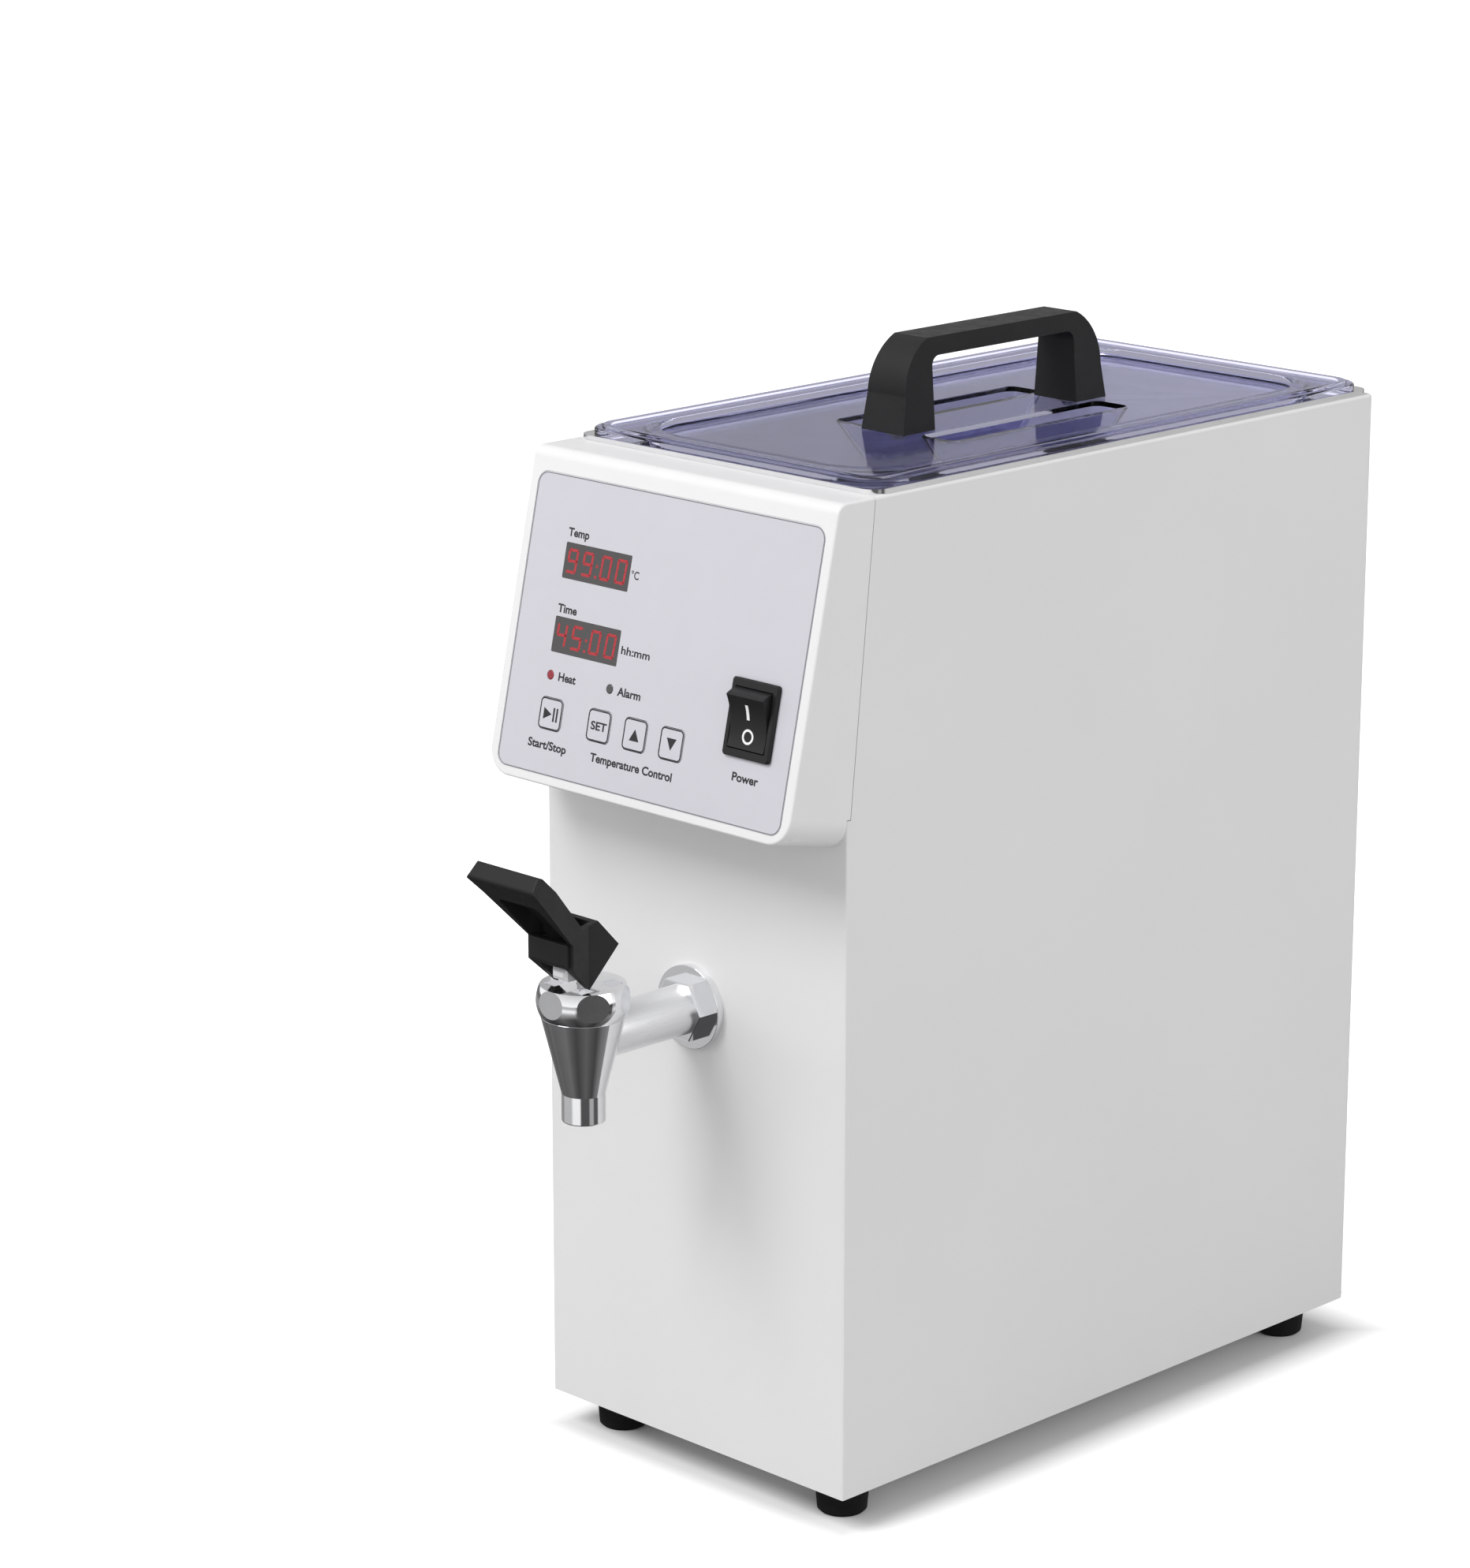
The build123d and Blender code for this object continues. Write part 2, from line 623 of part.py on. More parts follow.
# ---------------------------------------------------------------- lid
def lid():
    """The clear moulded lid: stepped rim, sunken floor, locating lip and two finger pockets."""
    y = tank_middle
    width, length = lid_size
    edge = rounded(width, length, lid_corner, lid_seat, lid_ledge, y=y)
    edge = fillet(edge.faces().sort_by(Axis.Z)[-1].edges(), 0.9)
    bead = ring(width, length, lid_corner, 3.3, 4.0, lid_ledge - 0.5, lid_bead, y)
    bead = fillet(bead.faces().sort_by(Axis.Z)[-1].edges(), 0.8)
    inset = lid_recess_inset
    band = rounded(width - 14, length - 14, lid_corner - 7, lid_ledge - 0.5, lid_band, y=y)
    recess_size = (width - 2 * inset, length - 2 * inset)
    skirt = rounded(recess_size[0] + 5.2, recess_size[1] + 5.2, tank_corner - 0.4,
                    lid_lip_bottom, lid_seat + 1, y=y)
    hollow = rounded(recess_size[0] + 1.2, recess_size[1] + 1.2, tank_corner - 2.4,
                     lid_lip_bottom - 1, lid_floor - lid_floor_skin, y=y)
    recess = rounded(recess_size[0], recess_size[1], lid_recess_corner, lid_floor, lid_band + 5, y=y)
    recess = fillet(recess.faces().sort_by(Axis.Z)[0].edges(), 1.0)
    body = edge + band + bead + skirt - hollow - recess
    lip = body.edges().filter_by(lambda e: abs(e.center().Z - lid_band) < 0.01 and abs(e.center().X) < 72
                                 and abs(e.center().Y - y) < length / 2 - inset + 1)
    body = fillet(lip, 0.8)
    for side in (-1, 1):
        body = body + pocket(side, pocket_wall) - pocket(side, 0)
    for y_screw in handle_screw_places:
        body -= rod(2.1, lid_floor - 10, lid_floor + 5, 0, y_screw)
    return body


def pocket(side, wall):
    """One tapered finger pocket; wall 0 is the hollow itself, otherwise its outer skin."""
    low = 1.0 if wall == 0 else 0.0
    x0, x1 = pocket_x
    y0, y1 = pocket_y
    top = rounded_face(x0 - wall, x1 + wall, y0 - wall, y1 + wall, 4 + wall, side)
    deep = rounded_face(x0 + 3 - wall, x1 - 5.5 + wall, y0 + 13 - wall, y1 - 13 + wall, 3 + wall, side)
    z_top = lid_floor - (0.5 if wall else 0)
    shape = loft([Pos(0, 0, z_top) * top, Pos(0, 0, lid_floor - pocket_depth - wall) * deep])
    return shape + Pos(0, 0, lid_floor - 0.01) * extrude(top, low) if low else shape


def rounded_face(x0, x1, y0, y1, corner, side):
    """A rounded rectangle on one side of the middle plane."""
    return Pos(side * (x0 + x1) / 2, (y0 + y1) / 2) * RectangleRounded(x1 - x0, y1 - y0, corner)


def lid_handle():
    """The black bridge handle: flared legs and a flat bar, narrower at the top."""
    base = lid_floor
    top = base + handle_height
    length, inner = handle_half_length, handle_inner_half
    end = handle_y - length
    side = Polyline((0, end, base), (0, end + 2.6, base + 16))
    shoulder = ThreePointArc((0, end + 2.6, base + 16), (0, end + 8.6, base + 33.4), (0, end + 17.5, top))
    crown = Line((0, end + 17.5, top), (0, handle_y + length - 17.5, top))
    other = mirror(side + shoulder, Plane.XZ.offset(-handle_y))
    foot = Line((0, end, base), (0, handle_y + length, base))
    outline = make_face(side + shoulder + crown + other + foot)
    solid = extrude(outline, 14, dir=(1, 0, 0), both=True)
    arch = block(-20, 20, handle_y - inner, handle_y + inner, base - 5, top - handle_bar)
    arch = fillet(arch.edges().filter_by(Axis.X).group_by(Axis.Z)[-1], 4.5)
    solid -= arch
    lean = (handle_base_half - handle_top_half) / handle_height
    wide = handle_base_half + lean * 5
    narrow = handle_base_half - lean * (handle_height + 5)
    wedge_points = [(-wide, 0, base - 5), (wide, 0, base - 5), (narrow, 0, top + 5), (-narrow, 0, top + 5)]
    wedge = extrude(make_face(Polyline(*wedge_points, close=True)), 300, dir=(0, 1, 0))
    solid = solid & wedge
    for y_screw in handle_screw_places:
        solid -= rod(1.9, base - 1, base + 12, 0, y_screw)
    return solid


def handle_screws():
    """Two screws up through the lid into the handle, each with its washer."""
    under = lid_floor - lid_floor_skin
    screw = Rot(180, 0, 0) * pan_screw(13.0, 1.9, 3.6, 2.4)
    return many([Pos(0, y, under - 1.0) * screw for y in handle_screw_places])


def handle_washers():
    """Two flat silicone washers under the handle's screw heads."""
    under = lid_floor - lid_floor_skin
    washer = rod(5.5, under - 1.0, under) - rod(1.9, under - 3, under + 1)
    return many([Pos(0, y, 0) * washer for y in handle_screw_places])


# ---------------------------------------------------------------- tap
def tap_cone():
    """The outside of the tap's body as one solid: the outlet tube and the cone above it."""
    outline = [(0, outlet_bottom), (outlet_radius, outlet_bottom), (outlet_radius, cone_bottom),
               (cone_top_radius, bonnet_bottom), (0, bonnet_bottom)]
    return revolve(make_face(Polyline(*[(r, 0, z) for r, z in outline], close=True)), Axis.Z)


def tap_body():
    """The chromed cone with its valve chamber and outlet."""
    shell = tap_cone() - rod(chamber_radius, seat_z, bonnet_bottom + 1)
    shell -= rod(outlet_bore, outlet_bottom - 1, seat_z + 1)
    shell = fillet(shell.edges().filter_by(lambda e: abs(e.center().Z - outlet_bottom) < 0.01), 0.6)
    shell -= rod_y(shank_bore, 0, 30, 0, shank_z)
    return Pos(0, tap_y, 0) * shell


def tap_shank():
    """The satin tube, brazed to the cone, that carries the tap and feeds it from the tank."""
    front = tank_middle - tank_inner[1] / 2 - tank_skin
    tube = rod_y(shank_radius, tap_y + 4, front, 0, shank_z)
    tube -= Pos(0, tap_y, 0) * tap_cone()
    tube -= rod(bonnet_radius + 0.3, bonnet_bottom - 0.05, bonnet_top, 0, tap_y)
    return tube - rod_y(shank_bore, tap_y, front + 1, 0, shank_z)


def tap_washer():
    """The thick round washer against the front wall."""
    disc = rod_y(washer_radius, -washer_thickness, 0, 0, shank_z)
    disc = fillet(disc.faces().sort_by(Axis.Y)[0].edges(), 0.25)
    return disc - rod_y(shank_radius, -5, 5, 0, shank_z)


def tap_nut():
    """The hexagonal nut that clamps the washer."""
    nut = extrude(RegularPolygon(14.5, 6), 6.5)
    nut = chamfer(nut.faces().sort_by(Axis.Z)[-1].edges(), 0.4)
    nut = Pos(0, -washer_thickness, shank_z) * Rot(90, 0, 0) * nut
    return nut - rod_y(shank_radius, -20, 5, 0, shank_z)


def tap_locknut():
    """The thin nut on the shank inside the front wall."""
    nut = Pos(0, sheet, shank_z) * Rot(-90, 0, 0) * extrude(RegularPolygon(16.5, 6), 5.0)
    return nut - rod_y(shank_radius, 0, 20, 0, shank_z)


def tap_bonnet():
    """The barrel-shaped cap with six flats around its rim and four shallow pockets on top."""
    low, top = (bonnet_low_radius, 0, bonnet_bottom), (bonnet_top_radius, 0, bonnet_top)
    side = ThreePointArc(low, (bonnet_radius, 0, bonnet_belly), top)
    rest = Polyline(top, (0, 0, bonnet_top), (0, 0, bonnet_bottom), low)
    cap = revolve(make_face(side + rest), Axis.Z)
    flat = Pos(bonnet_flat, 0, 220) * Rot(0, -bonnet_flat_lean, 0) * Pos(3.5, 0, 0) * Box(7, 40, 30)
    for step in range(6):
        cap -= Rot(0, 0, 30 + 60 * step) * flat
    recess = block(4.9, 11.9, 4.9, 11.9, bonnet_top - 1.5, bonnet_top + 1) - rod(8.3, 220, 230)
    for step in range(4):
        cap -= Rot(0, 0, 90 * step) * recess
    cap += rod(chamber_radius, bonnet_bottom - 4, bonnet_bottom + 1)
    cap -= rod(9.4, bonnet_bottom - 6, 219.5)
    cap -= rod(stem_radius + 0.3, 200, bonnet_top + 1)
    return Pos(0, tap_y, 0) * cap


def seat_cup():
    """The silicone cup that closes the outlet."""
    cup = rod(8.6, seat_z + 0.3, seat_z + 9)
    cup = fillet(cup.faces().sort_by(Axis.Z)[0].edges(), 2.0)
    return Pos(0, tap_y, 0) * (cup - rod(stem_radius, seat_z + 3, seat_z + 12))


def valve_stem():
    """The steel stem that lifts the cup, with a flat head for the lever's pin and a block below it."""
    stem = rod(stem_radius, seat_z + 3, 230)
    stem += rod(7.6, seat_z + 9, seat_z + 10.2)
    head = block(-3.0, 3.0, -4.6, 4.6, 228.6, pin_z + 4.4)
    head = fillet(head.edges().filter_by(Axis.X), 1.8)
    yoke = block(-4.5, 4.5, -14.2, 6.0, 229.2, 235.0)
    front = yoke.edges().filter_by(Axis.X).group_by(Axis.Y)[0]
    yoke = chamfer(front, 1.9)
    yoke = chamfer(yoke.edges().filter_by(Axis.Z).group_by(Axis.Y)[0], 1.5)
    stem += head + yoke
    stem -= rod_x(pin_radius + 0.05, -10, 10, 0, pin_z)
    return Pos(0, tap_y, 0) * stem


def valve_spring():
    """The coil that presses the cup down on its seat."""
    bottom, top = seat_z + 10.9, 218.8
    wire = 0.55
    turns = 4.5
    coil = Helix(pitch=(top - bottom) / turns, height=top - bottom, radius=6.2)
    start = Plane(origin=coil @ 0, z_dir=coil % 0)
    spring = sweep(start * Circle(wire), path=coil, is_frenet=True)
    return Pos(0, tap_y, bottom) * spring


def lever_half_width(y):
    """Half of the lever's width at a place along its length."""
    return lever_heel_half + 0.252 * max(0.0, -71.5 - y)


def lever_plan(inset):
    """An upright prism of the lever's plan shape, drawn in by an inset on both sides."""
    stations = (-112.0, -71.5, -50.0)
    right = [(lever_half_width(y) - inset, y, 0) for y in stations]
    left = [(-x, y, z) for x, y, z in reversed(right)]
    return extrude(make_face(Polyline(*right, *left, close=True)), 400)


def tap_lever():
    """The black press-down lever: a hollow paddle, two cheeks, an open heel and a front bridge."""
    paddle = side_profile(lever_outline, -25, 25) & lever_plan(0)
    lip = paddle.faces().sort_by(Axis.Y)[0]
    paddle = fillet(lip.edges(), 1.6)
    pocket_cut = side_profile(lever_pocket, -lever_pocket_half, lever_pocket_half)
    corners = pocket_cut.edges().filter_by(lambda e: abs(e.center().X) > 12 and e.center().Y < -98)
    pocket_cut = fillet(corners, 3.0)
    lever = paddle - (pocket_cut & lever_plan(1.8))
    bridge = block(-lever_bridge_half, lever_bridge_half, lever_bridge_front, -82.0, 238.3, 247.8)
    bridge = fillet(bridge.faces().sort_by(Axis.Y)[0].edges(), 0.5)
    lever += bridge
    lever -= side_profile(lever_slot, -lever_slot_half, lever_slot_half)
    return lever - rod_x(pin_radius, -pin_half_length, pin_half_length, tap_y, pin_z)


def lever_pin():
    """The steel pin through the stem, with its ends inside the lever's cheeks."""
    return rod_x(pin_radius, -pin_half_length, pin_half_length, tap_y, pin_z)


# ---------------------------------------------------------------- assembly
def build():
    """Every node of the object, by name."""
    nodes = {
        "cabinet": cabinet(),
        "base_plate": base_plate(),
        "rear_panel": rear_panel(),
        "base_screws": base_screws(),
        "rear_screws": rear_screws(),
        "rubber_feet": feet(),
        "foot_screws": foot_screws(),
        "console_housing": console_housing(),
        "label_overlay": label_overlay(),
        "heat_led": led(led_places["heat"]),
        "alarm_led": led(led_places["alarm"]),
        "key_switches": key_switches(),
        "control_board": control_board(),
        "board_pillars": board_pillars(),
        "board_screws": board_screws(),
        "switch_body": switch_body(),
        "power_rocker": rocker(),
        "rocker_pin": rocker_pin(),
        "switch_terminals": switch_terminals(),
        "tank": tank(),
        "tank_gasket": tank_gasket(),
        "tank_nozzle": tank_nozzle(),
        "bottom_heater": bottom_heater(),
        "side_heaters": side_heaters(),
        "insulation_jacket": insulation(),
        "overheat_cutout": overheat_cutout(),
        "temperature_sensor": temperature_sensor(),
        "power_board": power_board(),
        "power_board_pillars": power_board_pillars(),
        "transformer": transformer(),
        "solid_state_relay": relay(),
        "heater_leads": heater_leads(),
        "ribbon_cable": ribbon_cable(),
        "inlet_socket": inlet_socket(),
        "inlet_pins": inlet_pins(),
        "fuse_drawer": fuse_drawer(),
        "fuse": fuse(),
        "lid": lid(),
        "lid_handle": lid_handle(),
        "handle_screws": handle_screws(),
        "handle_washers": handle_washers(),
        "tap_body": tap_body(),
        "tap_shank": tap_shank(),
        "tap_washer": tap_washer(),
        "tap_nut": tap_nut(),
        "tap_locknut": tap_locknut(),
        "tap_bonnet": tap_bonnet(),
        "seat_cup": seat_cup(),
        "valve_stem": valve_stem(),
        "valve_spring": valve_spring(),
        "tap_lever": tap_lever(),
        "lever_pin": lever_pin(),
    }
    for name, place in window_places.items():
        nodes[name + "_window"] = display_window(place)
        nodes[name + "_display"] = display_module(place)
    for name, place in key_places.items():
        nodes[name + "_key"] = key(place)
    return nodes


def export_all(nodes):
    """Moves everything onto the table under the middle of the whole object and writes it."""
    os.makedirs("parts", exist_ok=True)
    boxes = [shape.bounding_box() for shape in nodes.values()]
    low = min(box.min.Y for box in boxes)
    high = max(box.max.Y for box in boxes)
    shift = Pos(0, -(low + high) / 2, foot_height)
    for name, shape in nodes.items():
        export_step(shift * shape, f"parts/{name}.step")
    print("nodes", len(nodes), "shift in Y", round(-(low + high) / 2, 4))


if __name__ == "__main__":
    export_all(build())
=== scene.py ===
import json
import math

import bmesh
import bpy
from mathutils import Matrix, Vector


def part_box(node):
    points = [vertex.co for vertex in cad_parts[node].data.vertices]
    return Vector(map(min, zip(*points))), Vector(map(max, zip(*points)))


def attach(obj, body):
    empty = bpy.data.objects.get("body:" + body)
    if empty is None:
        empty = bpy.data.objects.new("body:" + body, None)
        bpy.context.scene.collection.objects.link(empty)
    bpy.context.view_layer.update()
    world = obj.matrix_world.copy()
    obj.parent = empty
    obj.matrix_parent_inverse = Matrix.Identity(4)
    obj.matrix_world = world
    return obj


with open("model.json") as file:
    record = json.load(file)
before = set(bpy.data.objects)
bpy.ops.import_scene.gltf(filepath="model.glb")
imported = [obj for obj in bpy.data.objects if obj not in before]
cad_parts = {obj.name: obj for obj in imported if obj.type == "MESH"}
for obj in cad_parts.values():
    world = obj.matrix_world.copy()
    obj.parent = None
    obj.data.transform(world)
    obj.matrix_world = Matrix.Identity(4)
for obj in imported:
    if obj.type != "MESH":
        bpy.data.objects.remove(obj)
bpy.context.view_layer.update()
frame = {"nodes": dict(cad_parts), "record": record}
nodes = frame["nodes"]

MM = 0.001
CABINET_LOW, CABINET_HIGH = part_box("cabinet")
CABINET_MIDDLE = (CABINET_LOW + CABINET_HIGH) / 2
CABINET_HALF = (CABINET_HIGH - CABINET_LOW) / 2
TANK_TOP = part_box("tank")[1].z

# The console's sloping face. Its print is placed in millimetres: across, up and out of the face.
FACE_TILT = math.radians(12.4)
FACE_AHEAD = 0.0318
FACE_HEIGHT = 0.3118
FACE_ORIGIN = Vector((0.0, CABINET_LOW.y - FACE_AHEAD, CABINET_LOW.z + FACE_HEIGHT))
LABEL_FACE = -0.05
WINDOW_FACE = LABEL_FACE - 0.04
KEY_FACE = 0.25
PRINT = 0.03
WORD_LIFT = 0.005
KEY_MARK_SINK = 0.005


# ---------------------------------------------------------------- node helpers
class Graph:
    """A node tree, with short ways to add and join nodes."""

    def __init__(self, tree):
        self.tree = tree

    def add(self, kind, **values):
        node = self.tree.nodes.new(kind)
        for key, value in values.items():
            setattr(node, key, value)
        return node

    def join(self, source, target):
        self.tree.links.new(source, target)

    def axes(self, vector):
        node = self.add("ShaderNodeSeparateXYZ")
        self.join(vector, node.inputs["Vector"])
        return node.outputs["X"], node.outputs["Y"], node.outputs["Z"]

    def spread(self, fac, low, high, start=0.3, end=0.7):
        """Carries start..end over to low..high, and holds the ends beyond."""
        node = self.add("ShaderNodeMapRange")
        node.inputs["From Min"].default_value = start
        node.inputs["From Max"].default_value = end
        node.inputs["To Min"].default_value = low
        node.inputs["To Max"].default_value = high
        self.join(fac, node.inputs["Value"])
        return node.outputs["Result"]

    def ramp(self, fac, stops):
        node = self.add("ShaderNodeValToRGB")
        ramp = node.color_ramp
        while len(ramp.elements) < len(stops):
            ramp.elements.new(0.5)
        for element, (where, color) in zip(ramp.elements, stops):
            element.position = where
            element.color = (*color, 1.0)
        self.join(fac, node.inputs["Fac"])
        return node.outputs["Color"]

    def grey_ramp(self, fac, stops):
        return self.ramp(fac, [(where, (value,) * 3) for where, value in stops])

    def math(self, operation, a, b=0.0):
        node = self.add("ShaderNodeMath", operation=operation)
        for socket, value in zip(node.inputs, (a, b)):
            if isinstance(value, (int, float)):
                socket.default_value = value
            else:
                self.join(value, socket)
        return node.outputs["Value"]

    def mix(self, fac, first, second, blend="MIX"):
        """Two colours mixed by a socket or a plain number."""
        node = self.add("ShaderNodeMixRGB", blend_type=blend)
        if isinstance(fac, (int, float)):
            node.inputs["Fac"].default_value = fac
        else:
            self.join(fac, node.inputs["Fac"])
        self.join(first, node.inputs["Color1"])
        self.join(second, node.inputs["Color2"])
        return node.outputs["Color"]


class Surface(Graph):
    """A material's node tree, with the patterns and the shader that it ends in."""

    def __init__(self, name):
        self.material = bpy.data.materials.new(name)
        self.material.use_nodes = True
        super().__init__(self.material.node_tree)
        self.shader = self.tree.nodes["Principled BSDF"]
        self.place = self.add("ShaderNodeTexCoord").outputs["Object"]

    def stretched(self, scale):
        node = self.add("ShaderNodeMapping")
        node.inputs["Scale"].default_value = scale
        self.join(self.place, node.inputs["Vector"])
        return node.outputs["Vector"]

    def noise(self, scale, detail=3.0, roughness=0.55, stretch=None, distortion=0.0):
        node = self.add("ShaderNodeTexNoise")
        node.inputs["Scale"].default_value = scale
        node.inputs["Detail"].default_value = detail
        node.inputs["Roughness"].default_value = roughness
        node.inputs["Distortion"].default_value = distortion
        self.join(self.stretched(stretch) if stretch else self.place, node.inputs["Vector"])
        return node.outputs["Fac"]

    def cells(self, scale, feature="F1"):
        node = self.add("ShaderNodeTexVoronoi", feature=feature)
        node.inputs["Scale"].default_value = scale
        self.join(self.place, node.inputs["Vector"])
        return node.outputs["Distance"]

    def bump(self, height, strength, distance, after=None):
        node = self.add("ShaderNodeBump")
        node.inputs["Strength"].default_value = strength
        node.inputs["Distance"].default_value = distance
        self.join(height, node.inputs["Height"])
        if after is not None:
            self.join(after, node.inputs["Normal"])
        return node.outputs["Normal"]

    def finish(self, color, roughness, normal=None, **constants):
        self.join(color, self.shader.inputs["Base Color"])
        self.join(roughness, self.shader.inputs["Roughness"])
        if normal is not None:
            self.join(normal, self.shader.inputs["Normal"])
        for key, value in constants.items():
            self.shader.inputs[key.replace("_", " ")].default_value = value
        return self.material


def shade(color, factor):
    return tuple(min(1.0, c * factor) for c in color)


def tones(g, color, amount, scale):
    """The base colour, drifting a little lighter and darker over the surface."""
    drift = g.noise(scale, 4.0)
    return g.ramp(drift, [(0.32, shade(color, 1 - amount)), (0.68, shade(color, 1 + amount))])


def powder_coat(name, color, rough):
    """White powder coat: fine orange peel over a slightly uneven sheen."""
    g = Surface(name)
    peel = g.noise(620, 2.0, 0.5)
    fine = g.noise(2600, 2.0, 0.6)
    normal = g.bump(peel, 0.10, 0.0004)
    normal = g.bump(fine, 0.06, 0.0001, normal)
    roughness = g.spread(g.noise(45, 5.0, 0.65), rough - 0.05, rough + 0.07)
    return g.finish(tones(g, color, 0.012, 9.0), roughness, normal, Specular_IOR_Level=0.5)


def moulding(name, color, rough, grain=2300, depth=0.12, drift=0.03, **constants):
    """Moulded plastic: spark-eroded grain and faint flow marks."""
    g = Surface(name)
    pits = g.cells(grain)
    swirl = g.noise(38, 5.0, 0.6, distortion=0.8)
    normal = g.bump(pits, depth, 0.00025)
    normal = g.bump(swirl, 0.03, 0.002, normal)
    roughness = g.spread(g.noise(120, 6.0, 0.7), rough - 0.07, rough + 0.09)
    return g.finish(tones(g, color, drift, 60.0), roughness, normal, **constants)


def polished(name, color, rough, grain=(1.0, 1.0, 6.0), scratch=0.02, spread=0.03):
    """Bright metal: hair scratches, faint handling marks and a slow waviness."""
    g = Surface(name)
    hair = g.noise(900, 3.0, 0.6, stretch=grain)
    wave = g.noise(55, 2.0, 0.5)
    marks = g.noise(240, 7.0, 0.75, distortion=1.2)
    normal = g.bump(hair, scratch, 0.0002)
    normal = g.bump(wave, 0.015, 0.002, normal)
    roughness = g.spread(marks, max(0.02, rough - spread), rough + spread, 0.35, 0.75)
    return g.finish(tones(g, color, 0.015, 130.0), roughness, normal, Metallic=1.0)


def brushed(name, color, rough, stretch, strength):
    """Brushed metal: long fine lines along one axis."""
    g = Surface(name)
    lines = g.noise(1.0, 4.0, 0.7, stretch=stretch)
    broad = g.noise(30, 4.0, 0.6)
    normal = g.bump(lines, strength, 0.0002)
    roughness = g.math("ADD", g.spread(lines, rough - 0.06, rough + 0.08),
                       g.spread(broad, -0.03, 0.03))
    color = g.ramp(lines, [(0.25, shade(color, 0.93)), (0.75, shade(color, 1.04))])
    return g.finish(color, roughness, normal, Metallic=1.0)


def tank_steel(name, color):
    """Drawn stainless steel: bright on the flange, dull and scoured inside the tank."""
    g = Surface(name)
    bright_above, dull_below = TANK_TOP - 0.003, TANK_TOP - 0.008
    scour = g.noise(1.0, 4.0, 0.7, stretch=(700.0, 90.0, 700.0))
    inside = g.spread(g.axes(g.place)[2], 1.0, 0.0, dull_below, bright_above)
    roughness = g.math("ADD", g.spread(scour, 0.12, 0.20), g.math("MULTIPLY", inside, 0.38))
    g.join(g.math("SUBTRACT", 1.0, g.math("MULTIPLY", inside, 0.8)), g.shader.inputs["Metallic"])
    return g.finish(tones(g, color, 0.03, 40.0), roughness, g.bump(scour, 0.04, 0.0002))


def clear_moulding(name, color, rough, ior):
    """Clear moulded sheet: faint flow waviness, fine wiping scratches and a little haze."""
    g = Surface(name)
    flow = g.noise(26, 2.0, 0.4, distortion=0.6)
    wipe = g.noise(420, 5.0, 0.75, stretch=(1.0, 0.12, 1.0), distortion=0.4)
    normal = g.bump(flow, 0.05, 0.002)
    normal = g.bump(wipe, 0.01, 0.0002, normal)
    roughness = g.spread(wipe, rough, rough + 0.05, 0.45, 0.8)
    return g.finish(tones(g, color, 0.012, 20.0), roughness, normal,
                    Transmission_Weight=1.0, IOR=ior, Specular_IOR_Level=0.35)


def rubber(name, color, rough):
    """Moulded rubber: dusty, with a soft pebbled skin."""
    g = Surface(name)
    pebble = g.noise(1500, 4.0, 0.6)
    dust = g.noise(70, 6.0, 0.7)
    normal = g.bump(pebble, 0.25, 0.0002)
    color = g.ramp(dust, [(0.35, color), (0.85, shade(color, 1.5))])
    return g.finish(color, g.spread(dust, rough - 0.08, rough + 0.1), normal, Specular_IOR_Level=0.08)


def circuit_board(name):
    """Green lacquered board with a lattice of paler tracks."""
    g = Surface(name)
    tracks = g.cells(210, "DISTANCE_TO_EDGE")
    lines = g.ramp(tracks, [(0.03, (0.06, 0.30, 0.12)), (0.07, (0.012, 0.12, 0.045))])
    normal = g.bump(tracks, 0.15, 0.0002)
    return g.finish(lines, g.spread(g.noise(300), 0.25, 0.4), normal)


def fibre(name, color):
    """Mineral wool: matted short fibres."""
    g = Surface(name)
    mat = g.noise(900, 8.0, 0.8, distortion=2.0)
    clump = g.noise(60, 5.0, 0.7)
    normal = g.bump(mat, 0.7, 0.0008)
    color = g.ramp(clump, [(0.3, shade(color, 0.8)), (0.7, shade(color, 1.08))])
    return g.finish(color, g.spread(mat, 0.8, 1.0), normal)


def lamp(name, color, glow):
    """A tinted lamp body, which may glow a little."""
    g = Surface(name)
    swirl = g.noise(700, 3.0)
    tint = g.ramp(swirl, [(0.3, shade(color, 0.85)), (0.7, shade(color, 1.1))])
    g.shader.inputs["Emission Color"].default_value = (*color, 1.0)
    return g.finish(tint, g.spread(swirl, 0.2, 0.3), g.bump(swirl, 0.05, 0.0001),
                    Emission_Strength=glow)


def ink(name, color, rough=0.45):
    """Screen-printed ink: an uneven cover with the grain of a fine screen."""
    g = Surface(name)
    screen = g.noise(5200, 2.0)
    normal = g.bump(screen, 0.12, 0.00005)
    return g.finish(tones(g, color, 0.06, 900.0), g.spread(screen, rough - 0.05, rough + 0.08), normal)


